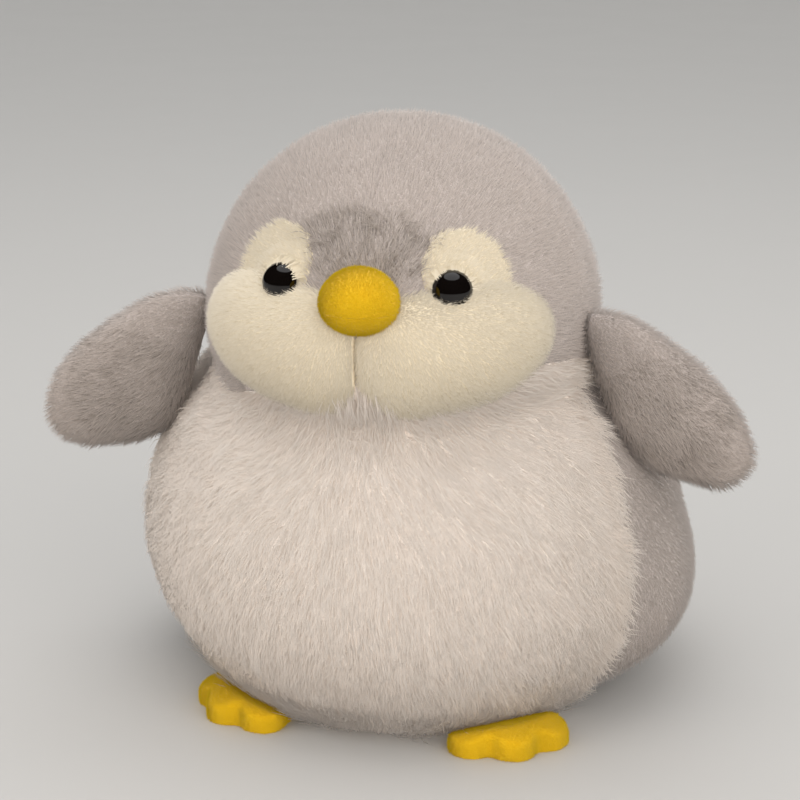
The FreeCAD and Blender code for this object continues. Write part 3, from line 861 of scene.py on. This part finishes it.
class PLUSH_OT_face(bpy.types.Operator):
    """Makes the eye patches, glossy eyes, puffed cheeks and stuffed beak"""

    bl_idname = "plush.face"
    bl_label = "Face"

    def execute(self, context):
        f = finishes()
        for side, way in (("left", 1), ("right", -1)):
            self.patch(side, way, f)
            self.cheek(side, way, f)
            # Moulded safety eye: black plastic, polished, IOR about 1.5, and its washer behind the plush.
            face_with(frame["nodes"]["eye_" + side], made_once("Black moulded eye", eye_plastic))
            face_with(frame["nodes"]["eye_washer_" + side], made_once("White moulded washer", washer_plastic))
        self.beak(f)
        return {"FINISHED"}

    @staticmethod
    def patch(side, way, f):
        """The pale patch round an eye, let in flush with the grey panel."""
        patch = copy_piece(trunk(), "eye_patch_" + side + "_skin")
        aim, look = face_way(PATCH_TURN * way, PATCH_LIFT), face_way(EYE_TURN * way, EYE_LIFT)
        beside = lambda m: (m - HEAD_MIDDLE).cross(aim).length > PATCH_RADIUS
        drop_faces(patch, lambda m, n: beside(m) or m.y > HEAD_MIDDLE.y or m.z < 0.17)
        use(patch, "SOLIDIFY", thickness=0.003, offset=-1)
        for point in patch.data.vertices:
            out = point.co - HEAD_MIDDLE
            away = out.cross(look).length
            rim = 1 - step(0.012, 0.0175, out.cross(aim).length)
            puff = 0.0022 * step(0.006, 0.0095, away) * (1 - step(0.011, 0.018, away)) * rim
            point.co += out.normalized() * (0.0006 + puff)
        finish_piece(patch, f["cream knit"], "body", "cream_plush", "eye_patch_" + side)
        cream = (f["cream pile"], "body", "cream_plush")
        grow(
            patch, f"eye_patch_{side}_pile", *cream, "sheared", 3.6e6,
            lambda m, n: n.dot((m - HEAD_MIDDLE).normalized()) < 0.4,
            comb=(0, 0, 0.2), parting=tuple(BEAK_MIDDLE), part=0.8, shortest=0.6, longest=1.1, lock_size=0.003,
        )
        # The pile round the eye folds in over its rim, further on the right.
        centre = HEAD_MIDDLE + look * (HEAD_RADIUS + 2 * MM)
        grow(
            patch, f"eye_rim_{side}_pile", *cream, "rim", 4e6,
            lambda m, n: n.dot(look) < 0.4 or not 0.0075 < (m - HEAD_MIDDLE).cross(look).length < 0.0125,
            comb=(0, 0, 0), parting=tuple(centre), part=-1.0, lean=0.75, ruffle=0.2, ruffle_size=0.006,
            longest=1.2 if way > 0 else 1.6, lock_size=0.0025,
        )

    @staticmethod
    def cheek(side, way, f):
        """One puffed cheek, stuffed against the other at the middle of the face."""
        deselect()
        bpy.ops.mesh.primitive_uv_sphere_add(segments=48, ring_count=24, radius=1)
        cheek = named(bpy.context.object, "cheek_" + side + "_skin")
        open_edit(cheek)
        bpy.ops.transform.resize(value=(0.049, 0.034, 0.0325))
        close_edit()
        for point in cheek.data.vertices:
            inward = -way * point.co.x
            point.co.z *= 1 + 0.22 * step(0.005, 0.04, inward)  # fuller where it meets the other cheek
        open_edit(cheek)
        bpy.ops.transform.rotate(value=way * math.radians(9), orient_axis="Y", center_override=(0, 0, 0))
        bpy.ops.transform.rotate(value=-way * CHEEK_TURN, orient_axis="Z", center_override=(0, 0, 0))
        close_edit()
        inner = CREASE - way * CHEEK_OVERLAP
        for point in cheek.data.vertices:
            point.co += HEAD_MIDDLE + face_way(CHEEK_TURN * way, 0) * CHEEK_REACH + Vector((0, 0, 3)) * MM
        keep_side(cheek, Vector((inner, 0, 0)), Vector((-way, 0, 0)))
        stuffed(cheek, 0.0035, lambda p: 0.0025, 0.003, lambda p: near(p.x - inner, 0.0025), smooth=3)
        finish_piece(cheek, f["cream knit"], "body", "cream_plush", "cheek_" + side, "cheek_stuffing_" + side, fill=0.9)
        grow(
            cheek, f"cheek_{side}_pile", f["cream pile"], "body", "cream_plush", "sheared", 2.9e6,
            lambda m, n: (m - HEAD_MIDDLE).length < HEAD_RADIUS - 4 * MM or way * (m.x - CREASE) < 0,
            comb=(0, 0, -0.3), parting=tuple(BEAK_MIDDLE), part=1.0, lean=1.1, ruffle=0.12, lock_size=0.003,
        )

    @staticmethod
    def beak(f):
        """The stuffed beak, parted at the seam between its two panels."""
        whole = copy_panels("beak_form", ["beak_upper", "beak_lower", "beak_stuffing"])
        seam = BEAK_MIDDLE + Vector((0, 0, -0.004))
        for point in whole.data.vertices:
            rise = (point.co.z - BEAK_MIDDLE.z) / 0.0155
            point.co.x *= 0.97 - 0.07 * rise
            point.co.z = BEAK_MIDDLE.z + (point.co.z - BEAK_MIDDLE.z) * 0.96
        held = lambda p: 0.8 * near(p.z - seam.z, 0.002)
        stuffed(whole, 0.0015, lambda p: 0.0006, 0.001, held, smooth=3, halve=False)
        for part, up in (("upper", 1), ("lower", -1)):
            beak = copy_piece(whole, f"beak_{part}_skin")
            keep_side(beak, seam, Vector((0, 0, -up)))
            nodes = ["beak_" + part] + (["beak_stuffing"] if up > 0 else [])
            finish_piece(beak, f["yellow knit"], "body", "yellow_plush", *nodes, fill=0.95)
            grow(
                beak, f"beak_{part}_nap", f["yellow nap"], "body", "yellow_plush", "nap", 5.5e6,
                lambda m, n: n.dot((m - BEAK_MIDDLE).normalized()) < 0.3 or abs(m.z - seam.z) < 0.2 * MM,
                comb=(0, -0.6, -0.5), lean=0.5, ruffle=0.1, lock_pull=20.0,
            )
        bpy.data.objects.remove(whole)


class PLUSH_OT_wings(bpy.types.Operator):
    """Stuffs both wings and covers them with grey pile"""

    bl_idname = "plush.wings"
    bl_label = "Wings"

    def execute(self, context):
        f = finishes()
        for joint in frame["joints"]:
            if "wing" not in joint["child"]:
                continue
            side = joint["child"].split("_")[1]
            hinge = Vector(joint["pos_m"])
            along = Vector(joint["axis"]).normalized()
            along *= -1 if along.z > 0 else 1  # down the seam
            low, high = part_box("wing_front_" + side)
            outward = (low + high) / 2 - hinge
            outward = (outward - along * outward.dot(along)).normalized()
            across = along.cross(outward).normalized()
            nodes = [f"wing_front_{side}", f"wing_back_{side}", f"wing_stuffing_{side}"]
            wing = copy_panels(f"wing_{side}_skin", nodes)
            use(wing, "REMESH", mode="VOXEL", voxel_size=0.0035)
            for point in wing.data.vertices:
                out = (point.co - hinge).dot(outward)
                root = 1 - step(0.0, 0.022, out)
                point.co += across * (point.co - hinge).dot(across) * 1.8 * root
                point.co += along * (point.co - hinge).dot(along) * 0.14 * root
                point.co -= outward * 0.014 * root
                point.co += outward * max(out, 0) * (0.0 if side == "left" else 0.09) - along * 0.003
            held = lambda p: 0.5 * near((p - hinge).dot(across), 0.002)
            stuffed(wing, 0.004, lambda p: 0.0018, 0.003, held, smooth=2)
            bend = ("body", joint["child"], hinge - outward * ROOT_TUCK, hinge + outward * 0.014)
            finish_piece(wing, f["grey knit"], bend, "grey_plush", *nodes, fill=0.75)
            down = tuple(outward + Vector((0, 0, -0.6)))
            grow(
                wing, f"wing_{side}_pile", f["grey pile"], bend, "grey_plush", "short", 1.15e6,
                lambda m, n: (m - hinge).dot(outward) < -ROOT_TUCK,
                comb=down, lean=1.3, ruffle=0.45, ruffle_size=0.024, lock_pull=70.0,
            )
            middle = hinge + outward * 0.016 + along * 0.022
            grow(
                wing, f"wing_{side}_locks", f["ruffled pile"], bend, "grey_plush", "ruffled", 4.5e5,
                lambda m, n: n.dot(FACE) < 0.2 or (m - middle).length > 0.032, comb=down, lean=1.6, ruffle=0.8,
                ruffle_size=0.012, lock_pull=110.0, lock_size=0.005, shortest=0.5, longest=1.0,
            )
        return {"FINISHED"}


class PLUSH_OT_feet(bpy.types.Operator):
    """Stuffs both feet and gives them a cropped yellow nap"""

    bl_idname = "plush.feet"
    bl_label = "Feet"

    def execute(self, context):
        f = finishes()
        for side in ("left", "right"):
            body = "foot_" + side
            nodes = [f"foot_top_{side}", f"foot_stuffing_{side}", f"foot_sole_{side}"]
            foot = copy_panels(body + "_skin", nodes)
            inset = lambda p: 0.0003 if p.z > 0.003 else 0.0
            stuffed(foot, 0.002, inset, 0.0015, lambda p: near(p.z - 0.002, 0.003), smooth=2)
            lowest = min(point.co.z for point in foot.data.vertices)
            for point in foot.data.vertices:
                point.co.z -= lowest - 0.0002
            if side == "right":  # sewn on turned a little further out than the other one
                hinge = next(Vector(joint["pos_m"]) for joint in frame["joints"] if joint["child"] == body)
                open_edit(foot)
                bpy.ops.transform.rotate(value=math.radians(10), orient_axis="Z", center_override=hinge)
                bpy.ops.transform.translate(value=(0.0045, 0.003, 0))
                close_edit()
            finish_piece(foot, f["yellow knit"], body, "yellow_plush", *nodes, fill=0.9)
            grow(
                foot, body + "_nap", f["yellow nap"], body, "yellow_plush", "nap", 5e6, lambda m, n: m.z < 1.4 * MM,
                comb=(0, -0.7, -0.1), lean=0.5, ruffle=0.15, lock_pull=20.0,
            )
        return {"FINISHED"}


class PLUSH_OT_stage(bpy.types.Operator):
    """Sets the pale table, the soft lights and the camera"""

    bl_idname = "plush.stage"
    bl_label = "Stage"

    def execute(self, context):
        s = context.scene.plush_stage
        deselect()
        bpy.ops.mesh.primitive_plane_add(size=9, location=(0, 0, 0))
        table = named(context.object, "table")
        open_edit(table, "EDGE", "DESELECT")
        close_edit()
        for edge in table.data.edges:
            edge.select = all(table.data.vertices[i].co.y > 4 for i in edge.vertices)
        bpy.ops.object.mode_set(mode="EDIT")
        for y, z in ((0.5, 0.08), (0.4, 0.26), (0.24, 0.5), (0.08, 3.0)):
            bpy.ops.mesh.extrude_region_move(TRANSFORM_OT_translate={"value": (0, y, z)})
        close_edit()
        bpy.ops.object.transform_apply(location=True, rotation=True, scale=True)
        use(table, "SUBSURF", levels=3, render_levels=3)
        only(table)
        bpy.ops.object.shade_smooth()
        table.data.materials.append(made_once("Pale satin lacquer", table_lacquer))
        target = Vector((-3.9, -15.8, 140.5)) * MM
        back = face_way(s.azimuth, s.elevation)
        lamps = (
            # name, place, size, watts, colour
            ("window_light", (0.0, 0.2, 1.6), 1.6, 8.5, "#FFFEFF"),
            ("room_light", (1.15, -1.35, 0.6), 2.4, 24, "#FFFAF6"),
            ("side_light", (-1.3, -1.1, 0.3), 1.2, 9, "#FFF8F2"),
        )
        for name, place, size, watts, code in lamps:
            bpy.ops.object.light_add(type="AREA", location=place)
            lamp = context.object
            lamp.name = name
            lamp.data.shape = "DISK"
            lamp.data.size = size
            lamp.data.energy = watts * s.light
            lamp.data.color = linear(code)[:3]
            lamp.visible_glossy = name == "window_light"
            lamp.rotation_euler = (target - Vector(place)).to_track_quat("-Z", "Y").to_euler()
        world = context.scene.world or bpy.data.worlds.new("Pale room")
        context.scene.world = world
        world.use_nodes = True
        world.cycles_visibility.glossy = False  # polished pieces show the window alone
        world.node_tree.nodes.clear()
        sky = put(world.node_tree, "ShaderNodeBackground", {"Color": linear("#EFF0F2"), "Strength": 1.18}).outputs[0]
        put(world.node_tree, "ShaderNodeOutputWorld", {"Surface": sky})
        bpy.ops.object.camera_add(location=target + back * s.distance)
        camera = context.object
        camera.name = "camera"
        camera.rotation_euler = back.to_track_quat("Z", "Y").to_euler()
        camera.data.lens = s.lens
        camera.data.sensor_width = 36
        context.scene.camera = camera
        context.scene.view_settings.view_transform = "Standard"
        return {"FINISHED"}


class PLUSH_PT_maker(bpy.types.Panel):
    """Lists the pieces and their settings"""

    bl_label = "Plush penguin"
    bl_idname = "PLUSH_PT_maker"
    bl_space_type = "VIEW_3D"
    bl_region_type = "UI"
    bl_category = "Plush"

    def draw(self, context):
        for group in ("plush_pile", "plush_colours", "plush_stage"):
            settings = getattr(context.scene, group)
            box = self.layout.box()
            for name in settings.__annotations__:
                box.prop(settings, name)
        for kind in OPERATORS:
            self.layout.operator(kind.bl_idname)


# In the order that they are made in: the body makes the trunk and the strands that the rest use.
OPERATORS = (PLUSH_OT_stage, PLUSH_OT_body, PLUSH_OT_head, PLUSH_OT_face, PLUSH_OT_wings, PLUSH_OT_feet)
CLASSES = (PlushPile, PlushColours, PlushStage) + OPERATORS + (PLUSH_PT_maker,)


def register():
    for kind in CLASSES:
        bpy.utils.register_class(kind)
    bpy.types.Scene.plush_pile = bpy.props.PointerProperty(type=PlushPile)
    bpy.types.Scene.plush_colours = bpy.props.PointerProperty(type=PlushColours)
    bpy.types.Scene.plush_stage = bpy.props.PointerProperty(type=PlushStage)


def unregister():
    del bpy.types.Scene.plush_stage
    del bpy.types.Scene.plush_colours
    del bpy.types.Scene.plush_pile
    for kind in reversed(CLASSES):
        bpy.utils.unregister_class(kind)


def main():
    register()
    for kind in OPERATORS:
        getattr(bpy.ops.plush, kind.bl_idname.split(".")[1])()
    for made in [each for each in bpy.data.objects if each.name.endswith(("trunk_form", "_strand"))]:
        bpy.data.objects.remove(made)
    deselect()


if __name__ == "__main__":
    main()
